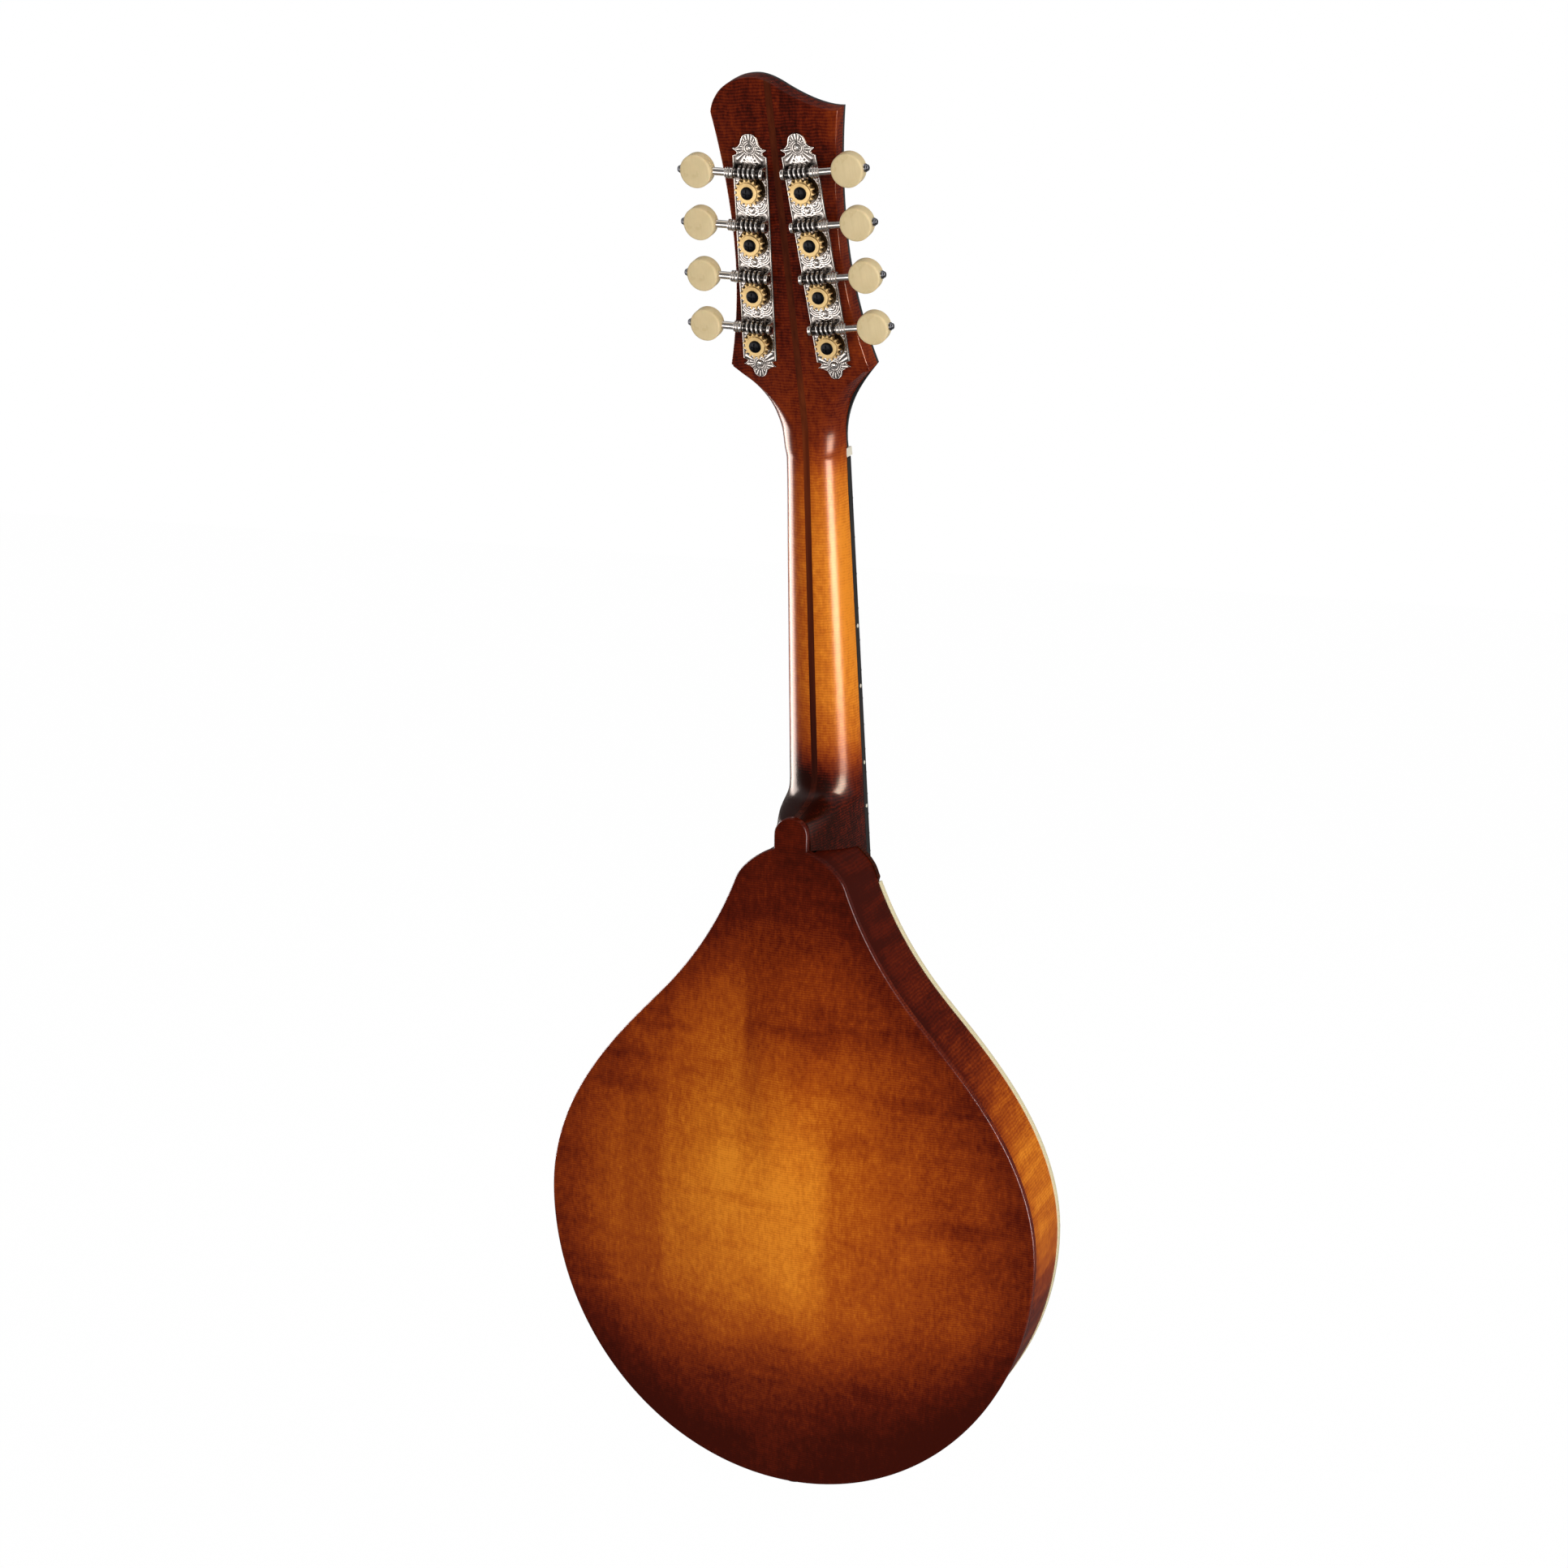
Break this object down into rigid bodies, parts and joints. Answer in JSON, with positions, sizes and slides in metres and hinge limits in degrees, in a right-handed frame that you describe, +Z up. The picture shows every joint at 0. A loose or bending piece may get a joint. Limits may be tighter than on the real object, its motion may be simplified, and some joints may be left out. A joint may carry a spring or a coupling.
{
  "type": "a-style mandolin",
  "caption": "Teardrop mandolin with carved arched plates, glued-in neck with a dark centre strip, floating bridge and paired strings on worm-gear tuning machines.",
  "frame": {"origin": "middle of the nut's playing edge, on the fingerboard's front plane", "axes": "+Z runs up the body's flat sides towards the headstock, +Y points out of the carved back, +X points to the treble side; the neck leans back from +Z by 7.66 degrees"},
  "size_m": [0.2532, 0.1256, 0.6825],
  "materials": {
    "maple_sunburst": "flamed maple under gloss lacquer, amber in the middle and dark red-brown at the edges",
    "neck_maple": "gloss lacquer, amber, dark at the heel and red-brown on the headstock",
    "spruce_sunburst": "spruce under gloss lacquer, amber in the middle and dark at the edges",
    "inner_spruce": "bare spruce",
    "inner_wood": "bare wood",
    "dark_lamination": "gloss lacquer over a dark wood strip",
    "ebony": "satin black wood",
    "ivoroid": "cream, satin",
    "button_ivoroid": "cream, polished",
    "bone": "polished bone",
    "nickel": "nickel plate, engraved on the tuning machines",
    "worm_nickel": "nickel-plated steel",
    "brass": "satin brass",
    "wheel_brass": "knurled brass",
    "steel": "plain steel wire and rod",
    "wound_steel": "bronze-wound wire"
  },
  "bodies": {
    "mandolin": {"back_plate": "maple_sunburst", "rib_bass": "maple_sunburst", "rib_treble": "maple_sunburst", "neck": "neck_maple", "top_plate": "spruce_sunburst", "tone_bar_bass": "inner_spruce", "tone_bar_treble": "inner_spruce", "lining_top": "inner_wood", "lining_back": "inner_wood", "head_block": "inner_wood", "tail_block": "inner_wood", "neck_lamination": "dark_lamination", "fingerboard": "ebony", "headstock_overlay": "ebony", "truss_rod_cover": "ebony", "bridge_base": "ebony", "end_pin": "ebony", "top_binding": "ivoroid", "nut": "bone", "tuner_plate_bass": "nickel", "tuner_plate_treble": "nickel", "tailpiece_base": "nickel", "truss_rod": "steel", "string_a1": "steel", "string_a2": "steel", "string_e1": "steel", "string_e2": "steel", "string_g1": "wound_steel", "string_g2": "wound_steel", "string_d1": "wound_steel", "string_d2": "wound_steel"},
    "worm_and_button_g1": {"worm_g1": "worm_nickel", "button_g1": "button_ivoroid"},
    "gear_and_post_g1": {"gear_g1": "brass"},
    "worm_and_button_g2": {"worm_g2": "worm_nickel", "button_g2": "button_ivoroid"},
    "gear_and_post_g2": {"gear_g2": "brass"},
    "worm_and_button_d1": {"worm_d1": "worm_nickel", "button_d1": "button_ivoroid"},
    "gear_and_post_d1": {"gear_d1": "brass"},
    "worm_and_button_d2": {"worm_d2": "worm_nickel", "button_d2": "button_ivoroid"},
    "gear_and_post_d2": {"gear_d2": "brass"},
    "worm_and_button_a1": {"worm_a1": "worm_nickel", "button_a1": "button_ivoroid"},
    "gear_and_post_a1": {"gear_a1": "brass"},
    "worm_and_button_a2": {"worm_a2": "worm_nickel", "button_a2": "button_ivoroid"},
    "gear_and_post_a2": {"gear_a2": "brass"},
    "worm_and_button_e1": {"worm_e1": "worm_nickel", "button_e1": "button_ivoroid"},
    "gear_and_post_e1": {"gear_e1": "brass"},
    "worm_and_button_e2": {"worm_e2": "worm_nickel", "button_e2": "button_ivoroid"},
    "gear_and_post_e2": {"gear_e2": "brass"},
    "bridge_saddle": {"bridge_saddle": "ebony"},
    "thumbwheel_bass": {"thumbwheel_bass": "wheel_brass"},
    "thumbwheel_treble": {"thumbwheel_treble": "wheel_brass"},
    "tailpiece_cover": {"tailpiece_cover": "nickel"},
    "truss_rod_nut": {"truss_rod_nut": "brass"}
  },
  "joints": [
    {"name": "worm_g1_turn", "type": "hinge", "parent": "mandolin", "child": "worm_and_button_g1", "pos_m": [-0.01663, 0.04252, 0.05762], "axis": [0.9975, -0.023, -0.0662], "continuous": true},
    {"name": "gear_g1_turn", "type": "hinge", "parent": "mandolin", "child": "gear_and_post_g1", "pos_m": [-0.0172, 0.03572, 0.05132], "axis": [0, 0.9446, -0.3282], "continuous": true},
    {"name": "worm_g2_turn", "type": "hinge", "parent": "mandolin", "child": "worm_and_button_g2", "pos_m": [-0.01501, 0.05006, 0.07935], "axis": [0.9975, -0.023, -0.0662], "continuous": true},
    {"name": "gear_g2_turn", "type": "hinge", "parent": "mandolin", "child": "gear_and_post_g2", "pos_m": [-0.01558, 0.04327, 0.07305], "axis": [0, 0.9446, -0.3282], "continuous": true},
    {"name": "worm_d1_turn", "type": "hinge", "parent": "mandolin", "child": "worm_and_button_d1", "pos_m": [-0.01339, 0.05761, 0.10108], "axis": [0.9975, -0.023, -0.0662], "continuous": true},
    {"name": "gear_d1_turn", "type": "hinge", "parent": "mandolin", "child": "gear_and_post_d1", "pos_m": [-0.01397, 0.05082, 0.09478], "axis": [0, 0.9446, -0.3282], "continuous": true},
    {"name": "worm_d2_turn", "type": "hinge", "parent": "mandolin", "child": "worm_and_button_d2", "pos_m": [-0.01178, 0.06517, 0.1228], "axis": [0.9975, -0.023, -0.0662], "continuous": true},
    {"name": "gear_d2_turn", "type": "hinge", "parent": "mandolin", "child": "gear_and_post_d2", "pos_m": [-0.01235, 0.05837, 0.11651], "axis": [0, 0.9446, -0.3282], "continuous": true},
    {"name": "worm_a1_turn", "type": "hinge", "parent": "mandolin", "child": "worm_and_button_a1", "pos_m": [0.01178, 0.06517, 0.1228], "axis": [0.9975, 0.023, 0.0662], "continuous": true},
    {"name": "gear_a1_turn", "type": "hinge", "parent": "mandolin", "child": "gear_and_post_a1", "pos_m": [0.01235, 0.05837, 0.11651], "axis": [0, 0.9446, -0.3282], "continuous": true},
    {"name": "worm_a2_turn", "type": "hinge", "parent": "mandolin", "child": "worm_and_button_a2", "pos_m": [0.01339, 0.05761, 0.10108], "axis": [0.9975, 0.023, 0.0662], "continuous": true},
    {"name": "gear_a2_turn", "type": "hinge", "parent": "mandolin", "child": "gear_and_post_a2", "pos_m": [0.01397, 0.05082, 0.09478], "axis": [0, 0.9446, -0.3282], "continuous": true},
    {"name": "worm_e1_turn", "type": "hinge", "parent": "mandolin", "child": "worm_and_button_e1", "pos_m": [0.01501, 0.05006, 0.07935], "axis": [0.9975, 0.023, 0.0662], "continuous": true},
    {"name": "gear_e1_turn", "type": "hinge", "parent": "mandolin", "child": "gear_and_post_e1", "pos_m": [0.01558, 0.04327, 0.07305], "axis": [0, 0.9446, -0.3282], "continuous": true},
    {"name": "worm_e2_turn", "type": "hinge", "parent": "mandolin", "child": "worm_and_button_e2", "pos_m": [0.01663, 0.04252, 0.05762], "axis": [0.9975, 0.023, 0.0662], "continuous": true},
    {"name": "gear_e2_turn", "type": "hinge", "parent": "mandolin", "child": "gear_and_post_e2", "pos_m": [0.0172, 0.03572, 0.05132], "axis": [0, 0.9446, -0.3282], "continuous": true},
    {"name": "saddle_height", "type": "slide", "parent": "mandolin", "child": "bridge_saddle", "axis": [0, -1, 0], "range_m": [-0.0015, 0]},
    {"name": "thumbwheel_bass_turn", "type": "hinge", "parent": "bridge_saddle", "child": "thumbwheel_bass", "pos_m": [-0.032, -0.03787, -0.35068], "axis": [0, -1, 0], "range_deg": [-1080, 0]},
    {"name": "thumbwheel_treble_turn", "type": "hinge", "parent": "bridge_saddle", "child": "thumbwheel_treble", "pos_m": [0.032, -0.03787, -0.35068], "axis": [0, -1, 0], "range_deg": [-1080, 0]},
    {"name": "cover_slide", "type": "slide", "parent": "mandolin", "child": "tailpiece_cover", "axis": [0, 0, -1], "range_m": [0, 0.045]},
    {"name": "truss_rod_nut_turn", "type": "hinge", "parent": "mandolin", "child": "truss_rod_nut", "pos_m": [0, 0.01124, 0.00555], "axis": [0, 0.1333, 0.9911], "range_deg": [-180, 180]}
  ],
  "couplings": [
    {"joint": "gear_g1_turn", "follows": "worm_g1_turn", "ratio": -0.0625},
    {"joint": "gear_g2_turn", "follows": "worm_g2_turn", "ratio": -0.0625},
    {"joint": "gear_d1_turn", "follows": "worm_d1_turn", "ratio": -0.0625},
    {"joint": "gear_d2_turn", "follows": "worm_d2_turn", "ratio": -0.0625},
    {"joint": "gear_a1_turn", "follows": "worm_a1_turn", "ratio": -0.0625},
    {"joint": "gear_a2_turn", "follows": "worm_a2_turn", "ratio": -0.0625},
    {"joint": "gear_e1_turn", "follows": "worm_e1_turn", "ratio": -0.0625},
    {"joint": "gear_e2_turn", "follows": "worm_e2_turn", "ratio": -0.0625},
    {"joint": "thumbwheel_bass_turn", "follows": "saddle_height", "rad_per_m": 12566},
    {"joint": "thumbwheel_treble_turn", "follows": "saddle_height", "rad_per_m": 12566}
  ]
}
